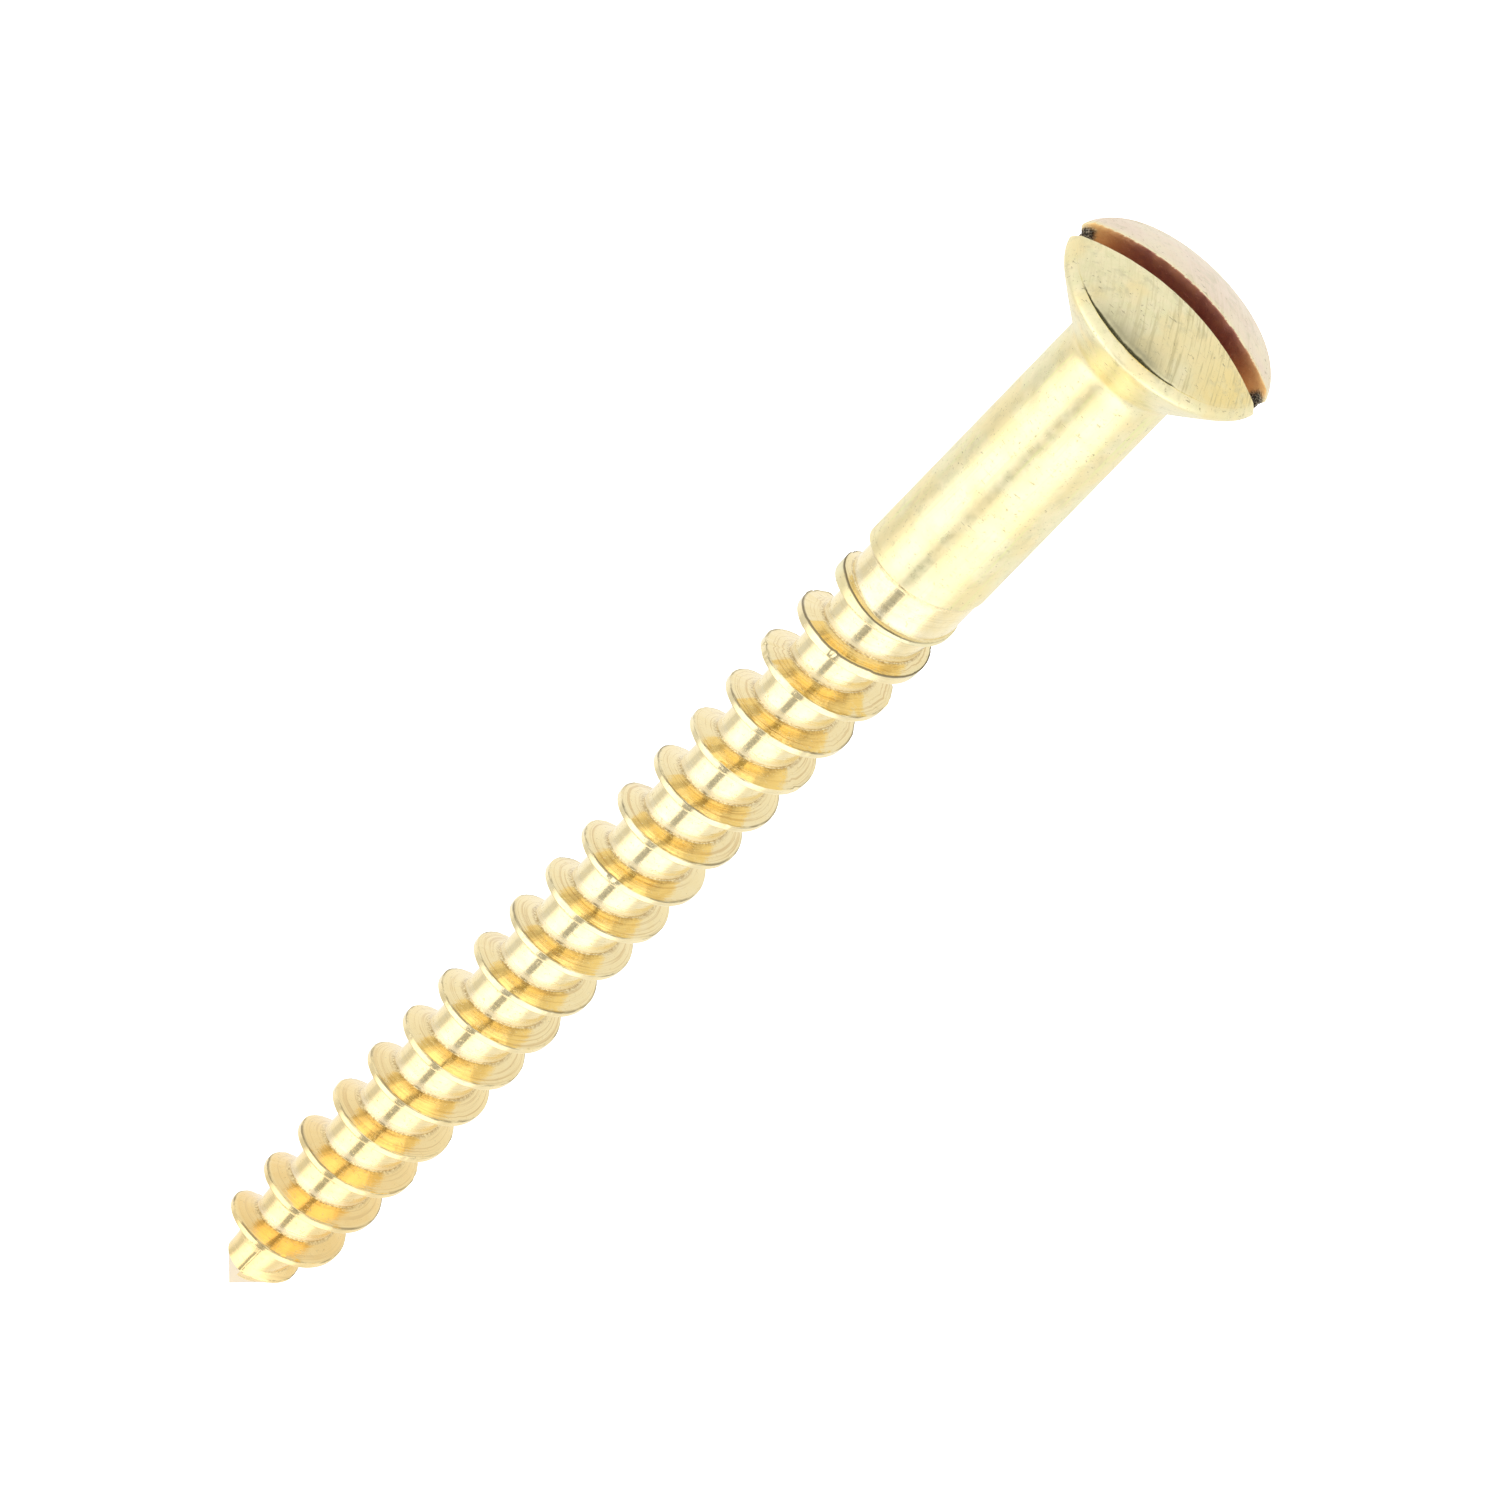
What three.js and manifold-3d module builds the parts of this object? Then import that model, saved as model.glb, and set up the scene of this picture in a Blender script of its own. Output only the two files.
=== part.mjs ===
// Slotted raised-countersunk wood screw, 5 x 60 mm, solid brass.
//
// One blank makes the whole screw: the head is formed on the end of the wire,
// the driving slot is sawn across it, and the thread is cut into the lower
// part of the shank. So there is one piece, and nothing in it moves.
//
// Frame: millimetres, +Z runs along the screw axis towards the head. The
// origin is on the axis, in the plane of the head's widest circle, which is
// the plane that ends flush with the wood. The point is at z = -LENGTH.
// The driving slot runs along X.

import * as THREE from 'three';
import { mergeVertices } from 'three/addons/utils/BufferGeometryUtils.js';
import Module from 'manifold-3d';

// ---------------------------------------------------------------- dimensions
const LENGTH = 60.0;            // point to the plane of the head's widest circle

const SHANK_R = 2.46;           // plain shank
const SHANK_RING = 49.2;        // distances along the axis are from the point

const HEAD_R = 4.80;            // the head's widest circle, at z = 0
const CONE_START = 57.56;       // where the countersink leaves the shank
const SHOULDER_R = 4.49;        // inner edge of the rounded shoulder, where the dome begins
const SHOULDER_H = 0.46;        // its height above the widest circle
const CROWN_H = 1.54;           // top of the dome above the widest circle
const DOME_RINGS = 6;

const SLOT_W = 1.40;            // driving slot
const SLOT_FLOOR = -0.60;       // z of the slot's floor

const PITCH = 2.335;            // single start, right hand
const TURNS_LOW = -1;           // first turn, counted from the reference turn
const TURNS_HIGH = 18;          // last turn, beyond the run-out
const CREST_REF = 3.885;        // head side of the crest at turn 0, angle -90
const COLUMNS = 40;             // facets round the axis

// core radius along the axis: cone of the point, then the slightly tapered core
const CORE = [
  [0.0, 0.0], [1.50, 1.10], [2.05, 1.13], [3.2, 1.33], [4.3, 1.47],
  [6.5, 1.53], [20.0, 1.57], [60.0, 1.62],
];
// The cutter draws out of the blank over the last turns: radius of the groove
// floor behind each turn of the crest, up to the shank where the groove ends.
const RUNOUT_FROM = 15.4;
const RUNOUT = [
  [15.4, 1.60], [15.75, 1.72], [16.0, 1.90], [16.25, 2.08], [16.75, 2.12],
  [17.0, 2.25], [17.25, 2.38], [17.5, SHANK_R], [20.0, SHANK_R],
];
// crest radius against the turn
const CREST = [
  [-1.0, 0.90], [-0.75, 1.58], [-0.5, 2.00], [-0.25, 2.22], [0.0, 2.25],
  [1.0, 2.31], [2.0, 2.355], [4.0, 2.385], [8.0, 2.41], [12.0, 2.43],
  [13.6, 2.46], [14.6, 2.55], [15.4, 2.58], [16.2, 2.57], [16.6, SHANK_R],
  [20.0, SHANK_R],
];
// width of the crest land, and the axial run of each flank, against the turn
const LAND = [[-1.0, 0.10], [0.0, 0.26], [14.0, 0.28], [17.0, 0.32]];
const FLANK_HEAD = [[-1.0, 0.30], [0.0, 0.42], [3.0, 0.38], [7.0, 0.30], [17.0, 0.28]];
const FLANK_POINT = [[-1.0, 0.30], [0.0, 0.46], [3.0, 0.44], [17.0, 0.40]];

// ------------------------------------------------------------------- helpers
function lookup(table, x) {
  if (x <= table[0][0]) return table[0][1];
  for (let i = 1; i < table.length; i++) {
    if (x <= table[i][0]) {
      const [x0, y0] = table[i - 1];
      const [x1, y1] = table[i];
      return y0 + (y1 - y0) * (x - x0) / (x1 - x0);
    }
  }
  return table[table.length - 1][1];
}

const positions = [];
const triangles = [];

function vertex(angle, radius, along) {
  positions.push(radius * Math.cos(angle), radius * Math.sin(angle), along - LENGTH);
  return positions.length / 3 - 1;
}

// radius of the groove floor behind the crest at a given turn
function floorRadius(turn, along) {
  return turn < RUNOUT_FROM ? lookup(CORE, along) : lookup(RUNOUT, turn);
}

// share of the full depth that the groove still has behind a turn
function depthShare(turn) {
  if (turn < RUNOUT_FROM) return 1;
  const full = SHANK_R - RUNOUT[0][1];
  return Math.min(1, (SHANK_R - lookup(RUNOUT, turn)) / full);
}

function alongOf(v) {
  return positions[3 * v + 2];
}

function triangle(a, b, c) {
  if (a !== b && b !== c && c !== a) triangles.push(a, b, c);
}

// Joins two neighbouring columns of points, each listed from the point of the
// screw upwards, by always closing the shorter diagonal along the axis.
function zip(left, right) {
  let i = 0;
  let j = 0;
  while (i < left.length - 1 || j < right.length - 1) {
    const stepLeft = j === right.length - 1 ||
      (i < left.length - 1 && alongOf(left[i + 1]) <= alongOf(right[j + 1]));
    if (stepLeft) {
      triangle(left[i], right[j], left[i + 1]);
      i++;
    } else {
      triangle(left[i], right[j], right[j + 1]);
      j++;
    }
  }
}

// Joins two neighbouring columns that have the same number of points.
function strip(left, right) {
  for (let i = 0; i < left.length - 1; i++) {
    triangle(left[i], right[i], right[i + 1]);
    triangle(left[i], right[i + 1], left[i + 1]);
  }
}

// ---------------------------------------------------------- the turned blank
const point = vertex(0, 0, 0);
const crown = vertex(0, 0, LENGTH + CROWN_H);

// head outline from the shank to just short of the crown
const headProfile = [
  [SHANK_RING, SHANK_R], [CONE_START - 0.35, SHANK_R], [CONE_START + 0.15, SHANK_R + 0.17],
  [LENGTH - 0.14, HEAD_R - 0.11], [LENGTH - 0.05, HEAD_R - 0.02], [LENGTH, HEAD_R],
  [LENGTH + 0.12, HEAD_R - 0.025], [LENGTH + 0.29, HEAD_R - 0.11],
];
const domeH = CROWN_H - SHOULDER_H;
const domeR = (SHOULDER_R * SHOULDER_R + domeH * domeH) / (2 * domeH);
const domeHalf = Math.asin(SHOULDER_R / domeR);
for (let i = 0; i < DOME_RINGS; i++) {
  const a = domeHalf * (1 - i / DOME_RINGS);
  headProfile.push([LENGTH + CROWN_H - domeR + domeR * Math.cos(a), domeR * Math.sin(a)]);
}

// Each column holds the drilling cone, four points for every turn of the
// thread (foot, crest, crest, foot), and the head outline.
const columns = [];
for (let j = 0; j < COLUMNS; j++) {
  const part = j / COLUMNS;
  const angle = -Math.PI / 2 + 2 * Math.PI * part;
  const lead = [point];
  const turns = [];
  const foot = CREST_REF + PITCH * (TURNS_LOW + part) -
    lookup(LAND, TURNS_LOW + part) - lookup(FLANK_POINT, TURNS_LOW + part);
  const along = [
    Math.min(0.45, 0.4 * foot),
    Math.min(1.50, 0.85 * foot),
    0.5 * (Math.min(1.50, 0.85 * foot) + foot),
  ];
  for (const s of along) lead.push(vertex(angle, lookup(CORE, s), s));
  for (let k = TURNS_LOW; k <= TURNS_HIGH; k++) {
    const turn = k + part;
    const ridge = CREST_REF + PITCH * turn;
    const foot0 = ridge - lookup(LAND, turn) - lookup(FLANK_POINT, turn);
    const foot1 = ridge + lookup(FLANK_HEAD, turn);
    const s = [
      foot0,
      foot0 + lookup(FLANK_POINT, turn) * depthShare(turn - 1),
      foot1 - lookup(FLANK_HEAD, turn) * depthShare(turn),
      foot1,
    ];
    const floor0 = floorRadius(turn - 1, s[0]);
    const floor1 = floorRadius(turn, s[3]);
    const crest = lookup(CREST, turn);
    turns.push([
      vertex(angle, floor0, s[0]),
      vertex(angle, Math.max(floorRadius(turn - 1, s[1]), crest), s[1]),
      vertex(angle, Math.max(floorRadius(turn, s[2]), crest), s[2]),
      vertex(angle, floor1, s[3]),
    ]);
  }
  const top = headProfile.map(([s, r]) => vertex(angle, r, s));
  top.push(crown);
  columns.push({ lead, turns, top });
}

for (let j = 0; j < COLUMNS - 1; j++) {
  const a = columns[j];
  const b = columns[j + 1];
  strip([...a.lead, ...a.turns.flat(), ...a.top], [...b.lead, ...b.turns.flat(), ...b.top]);
}
// Where the columns meet again, one turn of the thread has been gained.
{
  const a = columns[COLUMNS - 1];
  const b = columns[0];
  const n = a.turns.length;
  zip([...a.lead, a.turns[0][0]], [...b.lead, ...b.turns[0], b.turns[1][0]]);
  strip(a.turns.slice(0, n - 1).flat(), b.turns.slice(1).flat());
  zip([a.turns[n - 2][3], ...a.turns[n - 1], a.top[0]], [b.turns[n - 1][3], b.top[0]]);
  strip(a.top, b.top);
}

const blank = new THREE.BufferGeometry();
blank.setAttribute('position', new THREE.Float32BufferAttribute(positions, 3));
blank.setIndex(triangles);

// ----------------------------------------------------------- the driving slot
const wasm = await Module();
wasm.setup();

function toSolid(geometry) {
  const g = geometry.clone();
  g.deleteAttribute('normal');
  g.deleteAttribute('uv');
  const m = mergeVertices(g, 1e-5);
  return new wasm.Manifold(new wasm.Mesh({
    numProp: 3,
    vertProperties: new Float32Array(m.attributes.position.array),
    triVerts: new Uint32Array(m.index.array),
  }));
}

const slotTop = CROWN_H + 2;
const slotBox = new THREE.BoxGeometry(4 * HEAD_R, SLOT_W, slotTop - SLOT_FLOOR);
slotBox.translate(0, 0, (slotTop + SLOT_FLOOR) / 2);

const cut = toSolid(blank).subtract(toSolid(slotBox)).getMesh();
const screwGeometry = new THREE.BufferGeometry();
screwGeometry.setAttribute('position',
  new THREE.Float32BufferAttribute(Float32Array.from(cut.vertProperties), 3));
screwGeometry.setIndex(Array.from(cut.triVerts));
screwGeometry.computeVertexNormals();

// ------------------------------------------------------------------- assembly
const brass = new THREE.MeshStandardMaterial({
  color: 0xd9b96a,
  roughness: 0.3,
  metalness: 1.0,
});

const screw = new THREE.Mesh(screwGeometry, brass);
screw.name = 'screw_body';

const part = new THREE.Group();
part.name = 'wood_screw';
part.add(screw);

export default part;
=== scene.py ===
import math

import bmesh
import bpy
import numpy as np
from mathutils import Matrix, Vector
from mathutils.kdtree import KDTree


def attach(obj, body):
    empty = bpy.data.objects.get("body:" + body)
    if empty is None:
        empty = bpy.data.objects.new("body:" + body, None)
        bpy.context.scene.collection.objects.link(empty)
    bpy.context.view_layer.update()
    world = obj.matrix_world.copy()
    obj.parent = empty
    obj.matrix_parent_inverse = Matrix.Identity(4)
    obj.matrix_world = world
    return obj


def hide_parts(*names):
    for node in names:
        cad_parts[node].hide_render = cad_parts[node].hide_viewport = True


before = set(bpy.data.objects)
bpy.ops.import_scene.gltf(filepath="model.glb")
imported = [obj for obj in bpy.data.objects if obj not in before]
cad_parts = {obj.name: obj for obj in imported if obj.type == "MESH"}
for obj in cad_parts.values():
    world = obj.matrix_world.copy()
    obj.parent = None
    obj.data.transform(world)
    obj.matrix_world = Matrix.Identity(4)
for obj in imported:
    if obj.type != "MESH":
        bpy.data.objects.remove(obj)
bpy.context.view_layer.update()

RNG = np.random.default_rng(20)

# --------------------------------------------------------------- dimensions
# The same screw as part.mjs, in millimetres; the mesh is scaled to metres.
LENGTH = 60.0
SHANK_R = 2.46
SHANK_RING = 49.2
HEAD_R = 4.80
CONE_START = 57.56
SHOULDER_R, SHOULDER_H, CROWN_H = 4.49, 0.46, 1.54
SLOT_W, SLOT_FLOOR = 1.40, -0.60
PITCH, TURNS_LOW, TURNS_HIGH, CREST_REF = 2.335, -1, 18, 3.885
COLUMNS = 240

CORE = [(0, 0), (1.50, 1.10), (2.05, 1.13), (3.2, 1.33), (4.3, 1.47), (6.5, 1.53), (20, 1.57), (60, 1.62)]
RUNOUT_FROM = 15.4
RUNOUT = [(15.4, 1.60), (15.75, 1.72), (16, 1.90), (16.25, 2.08), (16.75, 2.12),
          (17, 2.25), (17.25, 2.38), (17.5, 2.46), (20, 2.46)]
CREST = [(-1, .90), (-.75, 1.58), (-.5, 2.00), (-.25, 2.22), (0, 2.25), (1, 2.31), (2, 2.355), (4, 2.385),
         (8, 2.41), (12, 2.43), (13.6, 2.46), (14.6, 2.55), (15.4, 2.58), (16.2, 2.57), (16.6, 2.46), (20, 2.46)]
LAND = [(-1, .10), (0, .26), (14, .28), (17, .32)]
FLANK_HEAD = [(-1, .30), (0, .42), (3, .38), (7, .30), (17, .28)]
FLANK_POINT = [(-1, .30), (0, .46), (3, .44), (17, .40)]
RETREAT = [(-1, 0), (16.6, 0), (16.75, .08), (16.85, 0), (17, -.40), (17.12, -.52), (19, -.52)]


def lookup(table, x):
    xs, ys = zip(*table)
    return float(np.interp(x, xs, ys))


def floor_radius(turn, along):
    return lookup(CORE, along) if turn < RUNOUT_FROM else lookup(RUNOUT, turn)


def depth_share(turn):
    if turn < RUNOUT_FROM:
        return 1.0
    return min(1.0, (SHANK_R - lookup(RUNOUT, turn)) / (SHANK_R - RUNOUT[0][1]))


# smooth seeded noise along a line, 0 mean, about -1 to 1
_TABLE = RNG.uniform(-1, 1, 8192)


def noise(x, channel=0):
    x = x + 1000.0 + 211.37 * channel
    i = int(math.floor(x))
    f = x - i
    f = f * f * (3 - 2 * f)
    return _TABLE[i % 8192] * (1 - f) + _TABLE[(i + 1) % 8192] * f


def rough(x, channel=0, octaves=3):
    return sum(noise(x * 2 ** k, channel + 7 * k) / 2 ** k for k in range(octaves)) / 1.6


# ------------------------------------------------------------------ the blank
# Every point carries what its surface is, for the materials:
# cut (thread, not blank skin), lip (head-side crest edge), root (foot of a
# flank), flank, across (arc length over the profile), turn.
# crease and shade also mark where shade is painted on the head
FIELDS = ("soft", "cone", "cut", "lip", "root", "flank", "across", "turn", "crease", "rim", "shade")
points, fields = [], {f: [] for f in FIELDS}


def vertex(angle, radius, along, **marks):
    points.append((radius * math.cos(angle), radius * math.sin(angle), along - LENGTH))
    for f in FIELDS:
        fields[f].append(marks.get(f, 0.0))
    return len(points) - 1


def corner(a, c, b, reach, n=4):
    """Points of a rounded corner at c between a and b."""
    a, c, b = np.array(a), np.array(c), np.array(b)
    la, lb = np.linalg.norm(a - c), np.linalg.norm(b - c)
    p = c + (a - c) / max(la, 1e-9) * min(reach, 0.42 * la)
    q = c + (b - c) / max(lb, 1e-9) * min(reach, 0.42 * lb)
    return [(1 - t) ** 2 * p + 2 * t * (1 - t) * c + t * t * q for t in np.linspace(0, 1, n)]


def between(a, b, n):
    a, b = np.array(a), np.array(b)
    return [a + (b - a) * (i + 1) / (n + 1) for i in range(n)]


def feet(turn):
    """The four corners of the ridge at a turn: (along, radius)."""
    ridge = CREST_REF + PITCH * turn
    land, fp, fh = lookup(LAND, turn), lookup(FLANK_POINT, turn), lookup(FLANK_HEAD, turn)
    foot0, foot1 = ridge - land - fp, ridge + fh
    s1 = foot0 + fp * max(depth_share(turn - 1), .06)
    s2 = foot1 - fh * max(depth_share(turn), .06)
    back = lookup(RETREAT, turn)
    s2, foot1 = max(s2 + back, s1 + .10), max(foot1 + back, s1 + .16)
    f0, f1 = floor_radius(turn - 1, foot0), floor_radius(turn, foot1)
    crest = lookup(CREST, turn)
    return [(foot0, f0), (s1, max(floor_radius(turn - 1, s1), crest)),
            (s2, max(floor_radius(turn, s2), crest)), (foot1, f1)]


def ridge_points(turn):
    """One turn of the profile: core behind, foot, flank, crest, flank, foot."""
    c = [np.array(p) for p in feet(turn)]
    before = np.array(feet(turn - 1)[3])
    after = np.array(feet(turn + 1)[0])
    after[0] = min(after[0], SHANK_RING - .15)
    # wear and burrs: the crest is never quite even, and the last turns are ragged
    wild = np.interp(turn, [-1, 0, 12.5, 14.5, 15.6, 16.5, 17.2, 18], [.3, .8, 1.0, 2.0, 3.2, 3.0, 1.2, 0])
    live = min(1.0, max(0.0, (c[1][1] - c[0][1]) / .4))
    live2 = min(1.0, max(0.0, (c[2][1] - c[3][1]) / .4))
    wob = .006 * rough(turn * 9, 1) * wild
    c[1] = c[1] + np.array([.010 * rough(turn * 34, 2) * wild, wob]) * live
    chip = max(0.0, rough(turn * 30, 4) - .50) * .10 * wild
    c[2] = c[2] + np.array([.010 * rough(turn * 40, 3) * wild, wob - chip]) * live2
    c[0] = c[0] + np.array([.010 * rough(turn * 14, 5), 0]) * live
    c[3] = c[3] + np.array([.012 * rough(turn * 14, 6), 0]) * live2
    out = []

    def add(pts, **m):
        for p in pts:
            out.append((p, m))

    add(corner(before, c[0], c[1], .06), root=live)
    add(between(c[0], c[1], 3), flank=live)
    add(corner(c[0], c[1], c[2], .05), lip=.35 * live)
    add(between(c[1], c[2], 2))
    edge = corner(c[1], c[2], c[3], .035)
    # a fine turned-over burr on the head-side edge of the crest
    burr = .012 * (max(0.0, rough(turn * 38, 8)) + .25) * wild * live2
    edge[1] = edge[1] + np.array([burr, burr * .6])
    edge[2] = edge[2] + np.array([burr * 1.2, burr * .2])
    add(edge, lip=min(1.0, live2 * 2.2))
    add(between(c[2], c[3], 4), flank=live2)
    add(corner(c[2], c[3], after, .030), root=live2)
    core = between(c[3], after, 9)
    for i, soft in enumerate((1, .62, .22, 0, 0, 0, 0, 0, 0)):
        add(core[i:i + 1], soft=soft * live2)
    return out, live, live2


dome_h = CROWN_H - SHOULDER_H
DOME_R = (SHOULDER_R ** 2 + dome_h ** 2) / (2 * dome_h)
DOME_HALF = math.asin(SHOULDER_R / DOME_R)


def dome(r):
    return LENGTH + CROWN_H - DOME_R + math.sqrt(DOME_R ** 2 - r * r)


def head_profile(angle):
    """(along, radius, marks) from the plain shank to the crown, at one angle."""
    lit = (angle + math.pi / 2 + math.pi) % (2 * math.pi) - math.pi
    c, s = math.cos(angle), math.sin(angle)
    out = []
    for a in np.linspace(SHANK_RING, CONE_START - .42, 16):
        out.append((a, SHANK_R, {}))
    neck = corner((CONE_START - .9, SHANK_R), (CONE_START, SHANK_R), (CONE_START + 1, SHANK_R + .958), .40, 7)
    out += [(p[0], p[1], {}) for p in neck]
    rim_at = (LENGTH - .24, HEAD_R - .196)
    low = np.array(neck[-1])
    for p in between(low, rim_at, 16):
        t = (p[0] - low[0]) / (rim_at[0] - low[0])
        # the countersink is very slightly hollow
        out.append((p[0], p[1] + .018 * math.sin(math.pi * t), {}))
    shape = [(-.24, -.196), (-.16, -.125), (-.10, -.082), (-.05, -.052), (0, -.032), (.05, -.022), (.10, -.026),
             (.16, -.045), (.22, -.074), (.28, -.112), (.335, -.158), (.385, -.212), (.42, -.254), (.443, -.282)]
    for k, (a, r) in enumerate(shape):
        soft = .010 * (rough(3.1 * c + 5, 20) + rough(3.1 * s + 9, 21)) * (0 if k < 6 else 1)
        out.append((LENGTH + a, HEAD_R + r + min(0, soft - .006), {"rim": 1.0}))
    # crease: where the formed shoulder meets the dome, deepest on one side,
    # closing up away from it
    def ease(x, x0, x1):
        t = min(1.0, max(0.0, (x - x0) / (x1 - x0)))
        return t * t * (3 - 2 * t)
    deep = ease(lit, -1.12, -.55) * (1 - ease(lit, .30, .80))
    heavy = ease(lit, -.70, -.28) * (1 - ease(lit, .10, .34))
    deep = max(0.0, deep * (.72 + .38 * rough(lit * 8, 22)) + .30 * heavy) + .04
    wide = .055 + .060 * heavy * (1 + .5 * rough(lit * 14, 27))
    drift = (.022 * rough(lit * 5, 23) + .012 * rough(lit * 26, 24)) * min(1.0, deep * 1.5)
    r0 = SHOULDER_R + drift
    # the crease marks carry the dark line painted as shade in this groove, and the shade marks a band of painted shade
    # on the dome inside it
    for off, down, mark in ((.030, 0.0, .25), (.012, -.010, .8), (-.010, -.055, 1.0),
                            (-.030, -.060, 1.0), (-.052, -.035, .9), (-.085, -.010, .35), (-.14, 0, .1)):
        r = r0 + off * (wide / .055)
        out.append((dome(min(r, SHOULDER_R)) + down * deep, r,
                    {"crease": mark * min(1.0, deep * 1.25), "shade": (heavy + .15 * deep) * (1 if off < 0 else 0)}))
    for r in np.linspace(r0 - .40, .10, 44):
        # shallow hammered unevenness left by forming
        dent = .008 * (rough(1.7 * r * c + 31, 25) * rough(1.7 * r * s + 57, 26) - .35)
        fall = math.exp(-((r0 - r) / .75) ** 2)
        out.append((dome(r) + min(0, dent), r, {"shade": (heavy + .15 * deep) * fall}))
    return out


apex = vertex(0, 0, 0)
crown = vertex(0, 0, LENGTH + CROWN_H - .004)
columns, per_turn = [], None
for j in range(COLUMNS):
    part = j / COLUMNS
    angle = -math.pi / 2 + 2 * math.pi * part
    first = TURNS_LOW + part
    foot = feet(first)[0][0]
    lead = [apex]
    shoulder = min(1.50, .90 * foot)
    span = [shoulder * t for t in (.02, .06, .12, .2, .3, .4, .5, .6, .7, .8, .88, .94, .975, 1.0)]
    span += [shoulder + (foot - shoulder) * t for t in (.06, .25, .5, .75)]
    for a in span:
        r = lookup(CORE, a)
        if a < .5:      # the very tip is blunted a little
            r = min(r, .78 * a + .02) if a > .05 else r
        lead.append(vertex(angle, r * (1 + .010 * rough(a * 6, 9)), a, across=a, turn=first, cut=1.0,
                           cone=1.0 if a < shoulder - .02 else 0.0))
    turns = []
    for k in range(TURNS_LOW, TURNS_HIGH + 1):
        pts, live, live2 = ridge_points(k + part)
        ids, run, last = [], 0.0, None
        for p, m in pts:
            if last is not None:
                run += float(np.hypot(*(p - last)))
            last = p
            t = k + part
            cut = 1.0 if t < 16.2 else max(0.0, min(1.0, (SHANK_R + .004 - p[1]) / .15))
            ids.append(vertex(angle, p[1], p[0], cut=cut, across=run, turn=t, **m))
        turns.append(ids)
        per_turn = len(ids)
    top = []
    run = 40.0
    last = None
    for a, r, m in head_profile(angle):
        if last is not None:
            run += math.hypot(a - last[0], r - last[1])
        last = (a, r)
        top.append(vertex(angle, r, a, across=run, turn=0.0, **m))
    top.append(crown)
    columns.append((lead, turns, top))

triangles = []


def triangle(a, b, c):
    if a != b and b != c and c != a:
        triangles.append((a, b, c))


def strip(left, right):
    for i in range(len(left) - 1):
        triangle(left[i], right[i], right[i + 1])
        triangle(left[i], right[i + 1], left[i + 1])


def zip_up(left, right):
    i = j = 0
    while i < len(left) - 1 or j < len(right) - 1:
        if j == len(right) - 1 or (i < len(left) - 1 and points[left[i + 1]][2] <= points[right[j + 1]][2]):
            triangle(left[i], right[j], left[i + 1]); i += 1
        else:
            triangle(left[i], right[j], right[j + 1]); j += 1


flat = lambda ts: [v for t in ts for v in t]
for j in range(COLUMNS - 1):
    a, b = columns[j], columns[j + 1]
    strip(a[0] + flat(a[1]) + a[2], b[0] + flat(b[1]) + b[2])
# where the columns meet again, one turn of the thread has been gained
a, b = columns[-1], columns[0]
zip_up(a[0] + [a[1][0][0]], b[0] + b[1][0] + [b[1][1][0]])
strip(flat(a[1][:-1]), flat(b[1][1:]))
zip_up([a[1][-2][-1]] + a[1][-1] + [a[2][0]], [b[1][-1][-1], b[2][0]])
strip(a[2], b[2])

co = np.array(points)
MM = 0.001


def new_mesh(name, verts, faces):
    mesh = bpy.data.meshes.new(name)
    mesh.from_pydata([tuple(v) for v in verts], [], [tuple(f) for f in faces])
    mesh.validate(clean_customdata=False)
    mesh.update()
    obj = bpy.data.objects.new(name, mesh)
    bpy.context.scene.collection.objects.link(obj)
    return obj


screw = new_mesh("brass_screw", co * MM, triangles)

# ------------------------------------------------------------- the sawn slot
# The cutter is the saw's path: flat floor, walls with faint saw marks, and a
# narrow broken edge that follows the dome.
xs = np.concatenate([[-6.5, -5.4, -4.95], np.linspace(-4.78, 4.78, 160), [4.95, 5.4, 6.5]])


def surface_z(x):
    r = math.hypot(x, SLOT_W / 2)
    if r < SHOULDER_R:
        return dome(r) - LENGTH
    return max(0.0, SHOULDER_H - (r - SHOULDER_R) * 1.2)


def wall_rows(x, side):
    z = surface_z(x)
    w = SLOT_W / 2
    nick = .010 * rough(x * 5, 40 + side) + .012 * max(0, rough(x * 17, 42 + side) - .3)
    rows = [(w - .06, SLOT_FLOOR), (w - .012, SLOT_FLOOR + .02), (w + .002, SLOT_FLOOR + .10)]
    for t in (.35, .6, .8):
        zz = SLOT_FLOOR + (z - SLOT_FLOOR) * t
        rows.append((w + .003 * rough(x * 3 + zz * 14, 44 + side), zz))
    rows += [(w + .25 * nick, z - .060), (w + .012 + nick, z - .022),
             (w + .040 + nick, z + .004), (w + .075 + nick, z + .05), (w + .09, z + .40), (w + .09, 3.5)]
    return rows


cut_v, cut_f = [], []
n_ring = None
for x in xs:
    left = [(x, -y, z) for y, z in reversed(wall_rows(x, 0))]
    right = [(x, y, z) for y, z in wall_rows(x, 1)]
    middle = [(x, y, SLOT_FLOOR + .006 * rough(x * 2 + y * 3, 47)) for y in (-.35, 0, .35)]
    ring = left + middle + right
    n_ring = len(ring)
    cut_v += ring
for i in range(len(xs) - 1):
    for k in range(n_ring):
        a0, b0 = i * n_ring + k, i * n_ring + (k + 1) % n_ring
        a1, b1 = a0 + n_ring, b0 + n_ring
        cut_f += [(a0, a1, b1), (a0, b1, b0)]
cap = len(cut_v)
cut_v += [(xs[0], 0, 1.2), (xs[-1], 0, 1.2)]
last_ring = (len(xs) - 1) * n_ring
for k in range(n_ring):
    n = (k + 1) % n_ring
    cut_f += [(cap, k, n), (cap + 1, last_ring + n, last_ring + k)]
cutter = new_mesh("saw_path", np.array(cut_v) * MM, cut_f)


def outward(obj):
    bm = bmesh.new()
    bm.from_mesh(obj.data)
    bmesh.ops.recalc_face_normals(bm, faces=bm.faces)
    bm.to_mesh(obj.data)
    bm.free()


outward(cutter)


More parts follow.
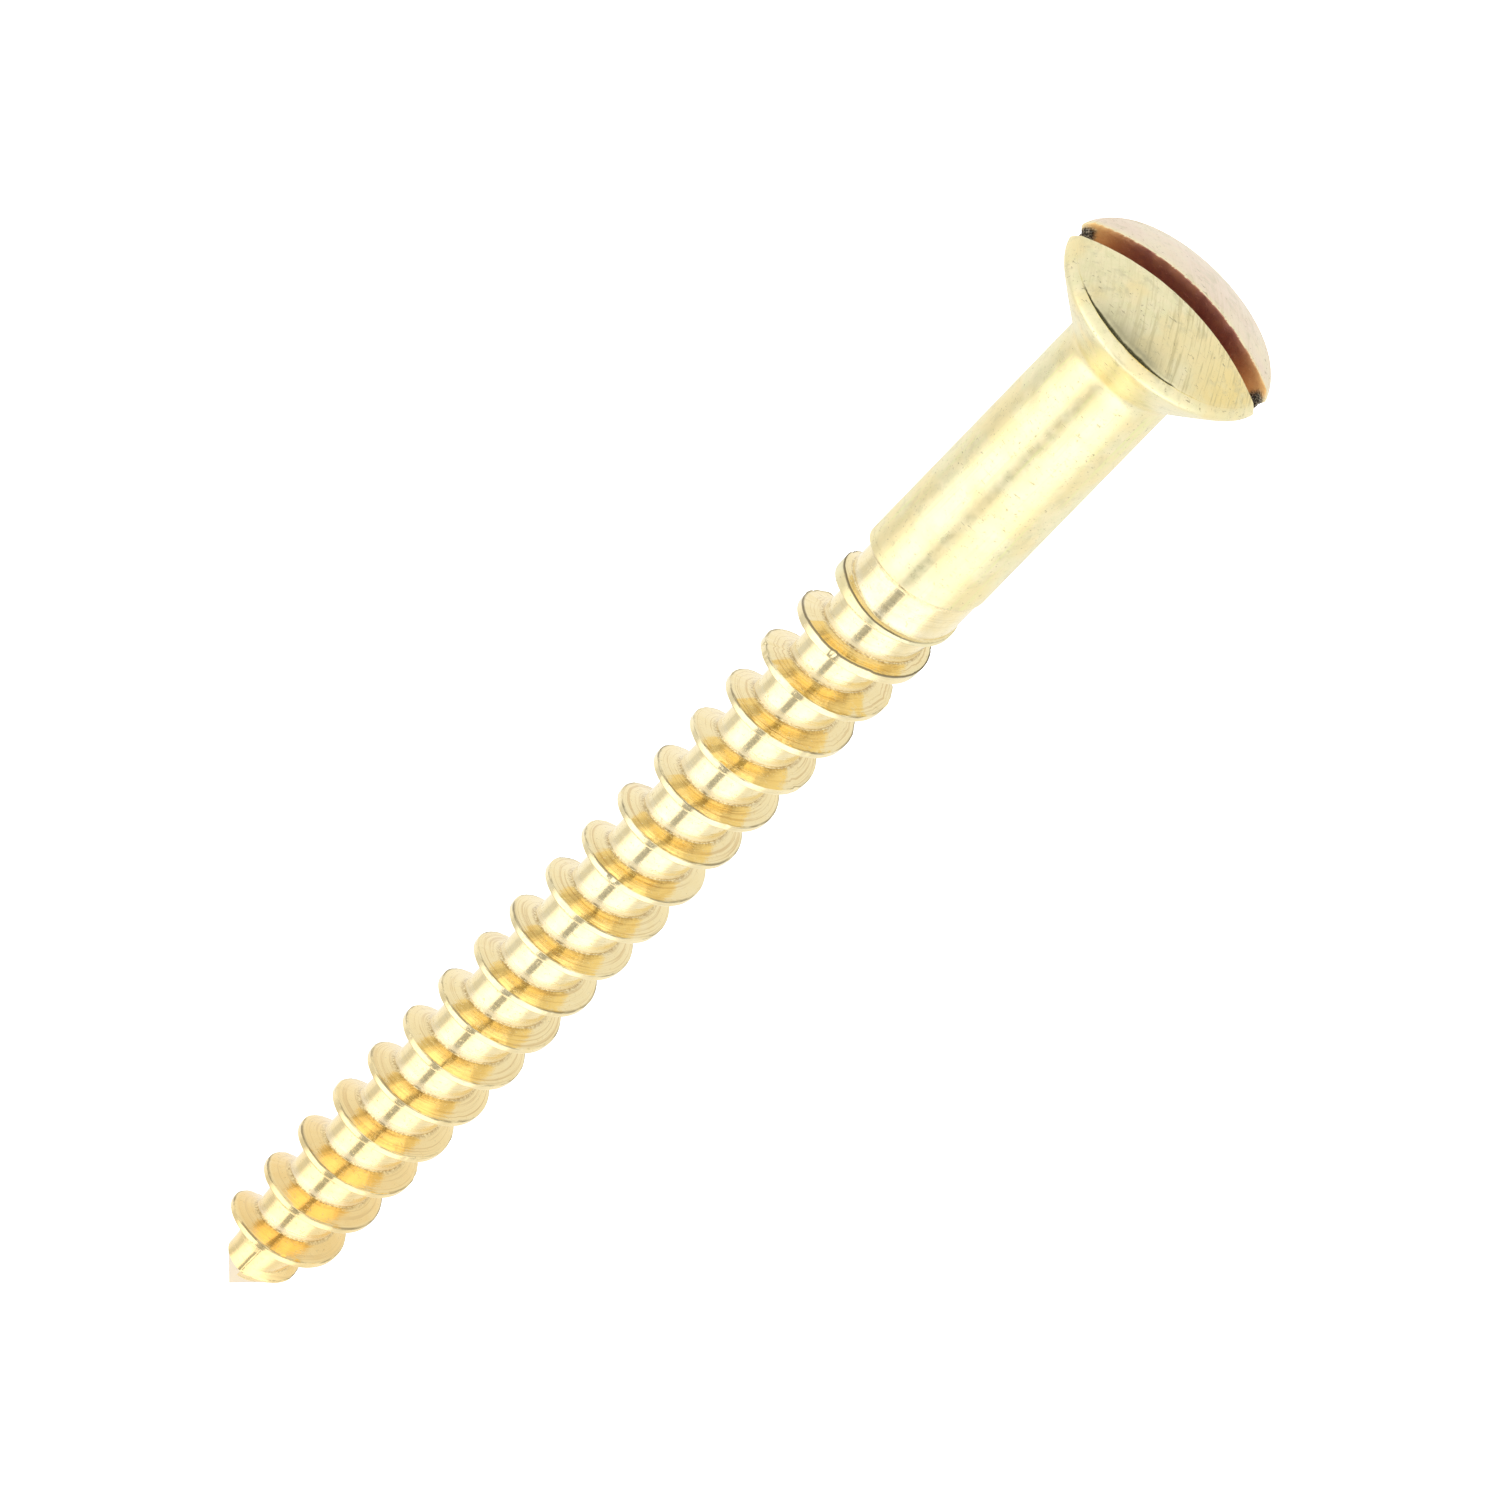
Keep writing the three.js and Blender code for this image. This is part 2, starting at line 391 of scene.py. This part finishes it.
def boolean(obj, other, operation):
    mod = obj.modifiers.new("cut", "BOOLEAN")
    mod.operation = operation
    mod.object = other
    mod.solver = "EXACT"
    dg = bpy.context.evaluated_depsgraph_get()
    made = bpy.data.meshes.new_from_object(obj.evaluated_get(dg))
    obj.modifiers.clear()
    old = obj.data
    obj.data = made
    bpy.data.meshes.remove(old)
    bpy.data.objects.remove(other, do_unlink=True)


# Small clumps of sawing burr left at the two ends of the slot.
GRIT = []
for sx, (gx, gy, gz, size) in enumerate(((-4.32, .53, -.16, .33), (4.38, .50, -.20, .35))):
    bm = bmesh.new()
    bmesh.ops.create_icosphere(bm, subdivisions=5, radius=1.0)
    for v in bm.verts:
        d = v.co.normalized()
        bump = .70 + .20 * rough(d.x * 3 + 3 * sx, 50) + .20 * rough(d.y * 3, 51) + .18 * rough(d.z * 3, 52)
        bump += .16 * rough(d.x * 9 + d.y * 5, 53) + .16 * rough(d.z * 9 - d.x * 4, 54)
        v.co = Vector((gx + d.x * size * bump * .8, gy + d.y * size * bump * .9, gz + d.z * size * bump))
    me = bpy.data.meshes.new("burr")
    bm.to_mesh(me)
    bm.free()
    me.transform(Matrix.Scale(MM, 4))
    burr = bpy.data.objects.new("burr", me)
    bpy.context.scene.collection.objects.link(burr)
    GRIT.append((gx, gy, gz, size, burr))

outward(screw)
boolean(screw, cutter, "DIFFERENCE")
for g in GRIT:
    boolean(screw, g[4], "UNION")

mesh = screw.data
bm = bmesh.new()
bm.from_mesh(mesh)
bmesh.ops.remove_doubles(bm, verts=bm.verts, dist=2e-7)
bmesh.ops.dissolve_degenerate(bm, edges=bm.edges, dist=1e-7)
bmesh.ops.triangulate(bm, faces=[f for f in bm.faces if len(f.verts) > 4])
# the burrs meet the slot's wall with a few tiny closed shells between: drop them
seen = set()
loose = []
for start in bm.verts:
    if start in seen:
        continue
    seen.add(start)
    island = [start]
    for v in island:
        for e in v.link_edges:
            w = e.other_vert(v)
            if w not in seen:
                seen.add(w)
                island.append(w)
    if len(island) < 1000:
        loose += island
bmesh.ops.delete(bm, geom=loose, context="VERTS")
bm.to_mesh(mesh)
open_edges = sum(1 for e in bm.edges if not e.is_manifold)
bm.free()
print("screw: %d vertices, %d faces, %d non-manifold edges" % (len(mesh.vertices), len(mesh.polygons), open_edges))

# ---------------------------------------------------- marks for the materials
tree = KDTree(len(co))
for i, p in enumerate(co):
    tree.insert(p, i)
tree.balance()
final = np.empty(len(mesh.vertices) * 3)
mesh.vertices.foreach_get("co", final)
final = final.reshape(-1, 3) / MM
near = np.array([tree.find(p)[1] for p in final])
for f in FIELDS:
    if f in mesh.attributes:
        mesh.attributes.remove(mesh.attributes[f])
    att = mesh.attributes.new(f, "FLOAT", "POINT")
    att.data.foreach_set("value", np.array(fields[f])[near].astype(np.float32))
x, y, z = final.T
in_slot = (np.abs(y) < SLOT_W / 2 + .016) & (z > SLOT_FLOOR - .02)
r = np.hypot(x, y)
surf = np.where(r < SHOULDER_R, LENGTH + CROWN_H - DOME_R + np.sqrt(np.maximum(DOME_R ** 2 - r * r, 0)) - LENGTH, 9)
slot_mark = in_slot.astype(float)
att = mesh.attributes.new("slot", "FLOAT", "POINT")
att.data.foreach_set("value", slot_mark.astype(np.float32))
grit_mark = np.zeros(len(final))
for gx, gy, gz, size, _ in GRIT:
    d = np.sqrt(((x - gx) / .9) ** 2 + ((y - gy)) ** 2 + (z - gz) ** 2) / size
    grit_mark = np.maximum(grit_mark, np.clip((1.25 - d) / .3, 0, 1))
att = mesh.attributes.new("grit", "FLOAT", "POINT")
att.data.foreach_set("value", grit_mark.astype(np.float32))

mesh.polygons.foreach_set("use_smooth", [True] * len(mesh.polygons))
mesh.set_sharp_from_angle(angle=math.radians(32))


# ------------------------------------------------------------------ materials
class Nodes:
    """Short hand for building node trees."""

    def __init__(self, tree):
        self.t = tree
        tree.nodes.clear()

    def node(self, kind, inputs=None, **props):
        n = self.t.nodes.new(kind)
        for k, v in props.items():
            setattr(n, k, v)
        for k, v in (inputs or {}).items():
            if isinstance(v, bpy.types.NodeSocket):
                self.t.links.new(v, n.inputs[k])
            else:
                n.inputs[k].default_value = v
        return n

    def math(self, op, a, b=0.0, c=0.0, clamp=False):
        return self.node("ShaderNodeMath", {0: a, 1: b, 2: c}, operation=op, use_clamp=clamp).outputs[0]

    def attr(self, name):
        return self.node("ShaderNodeAttribute", attribute_name=name).outputs["Fac"]

    def remap(self, v, lo, hi, to_lo=0.0, to_hi=1.0, smooth=False):
        return self.node("ShaderNodeMapRange", {"Value": v, "From Min": lo, "From Max": hi, "To Min": to_lo,
                         "To Max": to_hi}, interpolation_type="SMOOTHSTEP" if smooth else "LINEAR").outputs[0]

    def mix(self, fac, a, b, blend="MIX"):
        n = self.node("ShaderNodeMix", data_type="RGBA", blend_type=blend, clamp_factor=True)
        for sock, v in ((n.inputs[0], fac), (n.inputs[6], a), (n.inputs[7], b)):
            if isinstance(v, bpy.types.NodeSocket):
                self.t.links.new(v, sock)
            else:
                sock.default_value = v if not isinstance(v, tuple) else (*v, 1.0)[:4]
        return n.outputs[2]

    def noise(self, vec, scale, detail=2.0, roughness=.5, distortion=0.0):
        return self.node("ShaderNodeTexNoise", {"Vector": vec, "Scale": scale, "Detail": detail,
                         "Roughness": roughness, "Distortion": distortion}).outputs["Fac"]

    def scaled(self, vec, s):
        return self.node("ShaderNodeVectorMath", {0: vec, 1: s}, operation="MULTIPLY").outputs[0]

    def combine(self, x, y, z):
        return self.node("ShaderNodeCombineXYZ", {0: x, 1: y, 2: z}).outputs[0]


def brass_material():
    mat = bpy.data.materials.new("brass")
    mat.use_nodes = True
    n = Nodes(mat.node_tree)
    pos = n.scaled(n.node("ShaderNodeTexCoord").outputs["Object"], (1000.0, 1000.0, 1000.0))   # millimetres
    sep = n.node("ShaderNodeSeparateXYZ", {0: pos})
    px, py, pz = sep.outputs
    cut, lip, root, flank = n.attr("cut"), n.attr("lip"), n.attr("root"), n.attr("flank")
    across, turn = n.attr("across"), n.attr("turn")
    soft, cone = n.attr("soft"), n.attr("cone")
    slot, grit, crease, shade = n.attr("slot"), n.attr("grit"), n.attr("crease"), n.attr("shade")

    # ---- patterns
    broad = n.noise(pos, .45, 3, .55)
    mottled = n.noise(pos, 2.2, 4, .62)
    grain = n.noise(pos, 11.0, 3, .6)
    fine = n.noise(pos, 34.0, 2, .6)
    # tool lines run with the thread: steep across the profile, long around it
    tool = n.noise(n.combine(n.math("MULTIPLY", across, 9.5), n.math("MULTIPLY", turn, 2.2), 0.0), 1.0, 4, .62)
    tool_dark = n.remap(tool, .50, .36, 0, 1, True)
    # drawing lines along the plain shank
    drawn = n.noise(n.combine(n.math("MULTIPLY", px, 5.5), n.math("MULTIPLY", py, 5.5), n.math("MULTIPLY", pz, .16)),
                    1.0, 4, .62)
    on_shank = n.math("MULTIPLY", n.remap(pz, -16.5, -15.5), n.remap(pz, -2.4, -3.2))
    # lathe rings on the head and shank, broken up by the mottling
    rings = n.noise(n.combine(n.math("MULTIPLY", across, 9.0), n.math("MULTIPLY", mottled, 1.6), 3.0), 1.0, 2, .6)
    # brushing across the dome
    brush_dir = n.combine(n.math("MULTIPLY", n.math("ADD", px, n.math("MULTIPLY", py, .45)), 7.5),
                          n.math("MULTIPLY", py, .55), n.math("MULTIPLY", pz, .8))
    brush = n.noise(brush_dir, 1.0, 4, .62, .25)
    on_dome = n.remap(pz, .35, .55, 0, 1, True)
    pits = n.remap(n.noise(pos, 6.5, 4, .70, .4), .385, .30, 0, 1, True)
    scratch = n.remap(n.noise(n.combine(n.math("MULTIPLY", px, 2.2), n.math("MULTIPLY", py, 9.0),
                      n.math("MULTIPLY", pz, 14.0)), 1.0, 2, .5, .8), .33, .27, 0, 1, True)

    # ---- colour of the metal itself, ending with a band of painted shade on the dome
    skin = n.mix(n.remap(mottled, .32, .68), (.850, .800, .480), (.955, .860, .560))
    skin = n.mix(n.remap(broad, .42, .62, 0, .65, True), skin, (.940, .780, .400))
    # the head: greenish on the near half, pinker behind the slot, gilded on one side
    head = n.remap(pz, -2.6, -1.6, 0, 1, True)
    gilt = n.math("MULTIPLY", n.remap(px, 1.3, 4.0, 0, 1, True), n.remap(py, .4, -1.6, 0, 1, True))
    gilt = n.math("MULTIPLY", gilt, n.remap(mottled, .34, .52, .35, 1.0))
    skin = n.mix(n.math("MULTIPLY", n.math("MULTIPLY", gilt, on_dome), .80), skin, (.930, .740, .300))
    rosy = n.math("MULTIPLY", n.remap(py, .5, 1.1, 0, 1, True), n.remap(broad, .36, .58, .55, 1.0))
    skin = n.mix(n.math("MULTIPLY", n.math("MULTIPLY", rosy, head), .85), skin, (.830, .690, .575))
    smoke = n.remap(n.noise(pos, 1.3, 5, .68, .3), .50, .68, 0, 1, True)
    skin = n.mix(n.math("MULTIPLY", smoke, n.remap(head, 0, 1, .26, .48)), skin, (.58, .54, .34))
    green = n.math("MULTIPLY", on_shank, n.remap(drawn, .55, .66, 0, .60, True))
    skin = n.mix(green, skin, (.86, .86, .40))
    thread = n.mix(n.remap(mottled, .32, .68), (.925, .775, .430), (.945, .830, .520))
    thread = n.mix(n.remap(pz, -59, -38, .90, 0.0), thread, (.955, .730, .335))
    colour = n.mix(cut, skin, thread)
    colour = n.mix(n.math("MULTIPLY", flank, .50), colour, (.945, .780, .425))
    colour = n.mix(n.math("MULTIPLY", n.math("MULTIPLY", flank, tool_dark), .50), colour, (.66, .42, .16))
    # the first turns at the point are gilded deeper
    first = n.remap(pz, -57.5, -42, 1.0, 0.0, True)
    colour = n.mix(n.math("MULTIPLY", n.math("MULTIPLY", flank, first), n.remap(mottled, .35, .6, .60, .95)),
                   colour, (.900, .640, .265))
    colour = n.mix(n.math("MULTIPLY", n.math("MULTIPLY", cut, tool_dark), .16), colour, (.58, .45, .26))
    colour = n.mix(n.math("MULTIPLY", soft, .80), colour, (.985, .915, .720))
    colour = n.mix(n.math("MULTIPLY", cone, .85), colour, (.930, .800, .600))
    side = n.math("MULTIPLY", n.remap(px, -2.5, 1.2, .30, 1.0, True), n.remap(py, .5, 1.0, 1.0, .35))
    colour = n.mix(n.math("MULTIPLY", n.math("MULTIPLY", side, n.remap(brush, .52, .37, 0, 1, True)),
                          n.math("MULTIPLY", on_dome, .62)),
                   colour, (.58, .50, .25))
    colour = n.mix(n.math("MULTIPLY", pits, n.remap(cut, 0, 1, .72, .30)), colour, (.36, .31, .18))
    colour = n.mix(n.math("MULTIPLY", scratch, n.remap(cut, 0, 1, .75, .22)), colour, (.38, .33, .19))
    # painted shade: a darker grey-green band on the dome just inside the crease, heaviest on one side
    colour = n.mix(n.math("MULTIPLY", shade, n.remap(mottled, .3, .6, .45, .85)), colour, (.50, .46, .28))

    # ---- painted shade at the crest edges, thread roots, crease and slot; the slot's reddish tone; the sawing grit
    # painted shade: near-black on the head-side crest edges, in ragged patches and all along the last ragged turns
    along = n.combine(n.math("MULTIPLY", turn, 9.0), n.math("MULTIPLY", across, 5.0), 0.0)
    ragged = n.remap(n.noise(along, 1.0, 5, .72), .44, .60, 0, .80, True)
    last = n.math("MULTIPLY", n.remap(turn, 15.5, 15.8), n.remap(turn, 17.45, 17.25))
    ragged = n.math("MAXIMUM", ragged, n.math("MULTIPLY", last, .95))
    lip_edge_shade = n.math("MULTIPLY", n.math("MULTIPLY", n.remap(lip, .55, 1.0), ragged), .88)
    colour = n.mix(lip_edge_shade, colour, (.16, .12, .065))
    # painted shade: dark brown at the foot of each flank, broken up by the grain
    colour = n.mix(n.math("MULTIPLY", n.math("MULTIPLY", root, n.remap(grain, .35, .6)), .70), colour, (.40, .24, .08))
    # painted shade: a near-black line along the crease where the shoulder meets the dome
    colour = n.mix(n.math("MULTIPLY", n.remap(crease, .45, .95, 0, 1, True), n.remap(grain, .25, .5, .75, 1.0)),
                   colour, (.07, .065, .03))
    # the slot: a reddish tone with painted shade, darkest in the deep middle and lighter towards the shallow ends
    end = n.remap(n.math("ABSOLUTE", px), 2.2, 4.5, 0, 1, True)
    slot_tone_and_shade = n.mix(end, (.53, .255, .19), (.90, .61, .27))
    slot_tone_and_shade = n.mix(n.remap(mottled, .4, .65, 0, .5), slot_tone_and_shade, (.60, .30, .13))
    inside = n.math("MULTIPLY", slot, n.remap(n.math("ABSOLUTE", px), 4.66, 4.48))
    colour = n.mix(inside, colour, slot_tone_and_shade)
    speck = n.remap(n.noise(pos, 16.0, 3, .7), .44, .60, 0, 1, True)
    colour = n.mix(grit, colour, n.mix(speck, (.06, .05, .045), (.62, .55, .42)))

    # ---- roughness
    r_skin = n.remap(mottled, .3, .7, .27, .41)
    r_cut = n.remap(tool, .3, .7, .04, .13)
    r_cut = n.math("ADD", r_cut, n.math("ADD", n.math("MULTIPLY", soft, .34), n.math("MULTIPLY", cone, .24)))
    rough_ = n.math("ADD", n.math("MULTIPLY", r_cut, cut), n.math("MULTIPLY", r_skin, n.math("SUBTRACT", 1.0, cut)))
    # rougher along the crest edges painted with shade
    rough_ = n.math("ADD", rough_, n.math("MULTIPLY", lip_edge_shade, .35))
    rough_ = n.math("ADD", rough_, n.math("MULTIPLY", n.math("MAXIMUM", slot, grit), .16))
    rough_ = n.math("ADD", rough_, n.math("MULTIPLY", n.math("SUBTRACT", fine, .5), .10), clamp=True)

    # ---- relief
    not_cut = n.math("SUBTRACT", 1.0, cut)
    h = n.math("MULTIPLY", n.math("MULTIPLY", tool, cut), .0065)
    h = n.math("ADD", h, n.math("MULTIPLY", n.math("MULTIPLY", rings, not_cut), .0022))
    h = n.math("ADD", h, n.math("MULTIPLY", n.math("MULTIPLY", brush, on_dome), n.math("MULTIPLY", side, .0120)))
    h = n.math("ADD", h, n.math("MULTIPLY", n.math("MULTIPLY", drawn, on_shank), .0050))
    h = n.math("ADD", h, n.math("MULTIPLY", grain, .0020))
    h = n.math("ADD", h, n.math("MULTIPLY", pits, -.0040))
    h = n.math("ADD", h, n.math("MULTIPLY", scratch, -.0028))
    h = n.math("ADD", h, n.math("MULTIPLY", n.math("MULTIPLY", speck, grit), .05))
    h = n.math("MULTIPLY", h, .001)         # to metres
    bump = n.node("ShaderNodeBump", {"Height": h})
    bump.inputs["Distance"].default_value = 1.0
    bump.inputs["Strength"].default_value = 1.0

    bsdf = n.node("ShaderNodeBsdfPrincipled", {"Base Color": colour, "Roughness": rough_, "Normal": bump.outputs[0]})
    bsdf.inputs["Metallic"].default_value = 1.0
    out = n.node("ShaderNodeOutputMaterial")
    mat.node_tree.links.new(bsdf.outputs[0], out.inputs[0])
    return mat


mesh.materials.clear()
mesh.materials.append(brass_material())
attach(screw, "root")
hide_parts("screw_body")

# ---------------------------------------------------------------------- stage
bm = bmesh.new()
bmesh.ops.create_circle(bm, cap_ends=True, segments=96, radius=3.0)
me = bpy.data.meshes.new("floor")
bm.to_mesh(me)
bm.free()
floor = bpy.data.objects.new("floor", me)
floor.location = (0, 0, -.06)
bpy.context.scene.collection.objects.link(floor)
mat = bpy.data.materials.new("pale_floor")
mat.use_nodes = True
n = Nodes(mat.node_tree)
paper = n.node("ShaderNodeBsdfPrincipled")
paper.inputs["Base Color"].default_value = (.8, .8, .8, 1)
paper.inputs["Roughness"].default_value = .9
paper.inputs["Emission Color"].default_value = (1, 1, 1, 1)
paper.inputs["Emission Strength"].default_value = .92
clear = n.node("ShaderNodeBsdfTransparent")
side = n.node("ShaderNodeMixShader", {0: n.node("ShaderNodeNewGeometry").outputs["Backfacing"],
                                      1: paper.outputs[0], 2: clear.outputs[0]})
out = n.node("ShaderNodeOutputMaterial")
mat.node_tree.links.new(side.outputs[0], out.inputs[0])
me.materials.append(mat)
floor.visible_glossy = False

# ---------------------------------------------------------- studio surround
# Large soft panels all round: bright in front, with a narrow gap between
# them, calmer behind, and a dimmer ceiling.
world = bpy.data.worlds.new("studio")
bpy.context.scene.world = world
world.use_nodes = True
n = Nodes(world.node_tree)
sep = n.node("ShaderNodeSeparateXYZ", {0: n.node("ShaderNodeTexCoord").outputs["Generated"]})
dx, dy, dz = sep.outputs
azimuth = n.math("ARCTAN2", dx, n.math("MULTIPLY", dy, -1.0))        # 0 in front, + towards +X
height = n.math("MULTIPLY", n.math("ARCSINE", dz), 180 / math.pi)


def ramp(fac, stops, interpolation="LINEAR"):
    node = n.node("ShaderNodeValToRGB", {0: fac})
    node.color_ramp.interpolation = interpolation
    els = node.color_ramp.elements
    while len(els) > 1:
        els.remove(els[-1])
    top = 2.5
    for i, (p, v) in enumerate(stops):
        e = els[0] if i == 0 else els.new(p)
        e.position = p
        e.color = (v / top, v / top, v / top, 1)
    return n.math("MULTIPLY", node.outputs[0], top)


turned = n.math("ADD", n.math("DIVIDE", azimuth, 2 * math.pi), .5)
deg = lambda d: (d + 180) / 360
low = ramp(turned, [(deg(d), v) for d, v in (
    (-180, 1.30), (-131, 1.35), (-114, 1.25), (-106, 1.0), (-86, 1.0), (-79, 1.4), (-68, 1.9), (-45, 2.3),
    (-25, 2.2), (-17, 1.9), (-14, .62), (-9, .74), (-3, .66), (2, .50), (5, 1.8), (17, 2.0), (42, 2.3),
    (66, 2.0), (76, 1.3), (92, 1.18), (100, 1.25), (123, 1.32), (180, 1.30))])
high = ramp(turned, [(deg(d), v) for d, v in (
    (-180, 1.28), (-110, 1.25), (-70, 1.42), (0, 1.50), (70, 1.42), (110, 1.25), (180, 1.28))])
high = n.math("MULTIPLY", high, n.remap(height, 5, 45, 1.0, .92, True))
ceiling = n.remap(height, 68, 84, 1.0, .60, True)
high = n.math("MULTIPLY", high, ceiling)
# the gap between the front panels is barred, so that tool lines break it up
bars = n.math("SINE", n.math("MULTIPLY", height, 1.35))
gap = n.math("MULTIPLY", n.remap(azimuth, math.radians(-16), math.radians(-13)), n.remap(azimuth, math.radians(4.5), math.radians(2)))
low = n.math("MULTIPLY", low, n.math("ADD", 1.0, n.math("MULTIPLY", n.math("MULTIPLY", bars, gap), .45)))
calm = n.math("MINIMUM", low, 1.75)
fade = n.remap(height, -27, -18, 0, 1, True)
low = n.math("ADD", n.math("MULTIPLY", low, n.math("SUBTRACT", 1.0, fade)), n.math("MULTIPLY", calm, fade))
k = n.remap(height, -8, 12, 0, 1, True)
both = n.math("ADD", n.math("MULTIPLY", low, n.math("SUBTRACT", 1.0, k)), n.math("MULTIPLY", high, k))
seen = n.node("ShaderNodeLightPath").outputs["Is Camera Ray"]
light = n.math("ADD", n.math("MULTIPLY", both, n.math("SUBTRACT", 1.0, seen)), seen)
bg = n.node("ShaderNodeBackground", {"Strength": light})
out = n.node("ShaderNodeOutputWorld")
world.node_tree.links.new(bg.outputs[0], out.inputs[0])

scene = bpy.context.scene
scene.view_settings.view_transform = "Standard"
scene.view_settings.look = "None"
scene.view_settings.exposure = 0.0
scene.view_settings.gamma = 1.0

# --------------------------------------------------------------------- camera
theta, tilt = 0.5476704, math.radians(45.83) - 0.0015014
w = Vector((0, -math.cos(theta), math.sin(theta)))
eu = Vector((0, math.sin(theta), math.cos(theta)))
ev = Vector((1, 0, 0))
right = math.cos(tilt) * eu + math.sin(tilt) * ev
up = math.sin(tilt) * eu - math.cos(tilt) * ev
data = bpy.data.cameras.new("camera")
data.lens, data.sensor_width, data.sensor_fit = 384.0, 36.0, "AUTO"
data.clip_start, data.clip_end = .01, 10
camera = bpy.data.objects.new("camera", data)
scene.collection.objects.link(camera)
place = Matrix((right, up, w)).transposed().to_4x4()
place.translation = Vector((0.0000537, 0, -0.02597)) + w * 0.6062
camera.matrix_world = place
scene.camera = camera
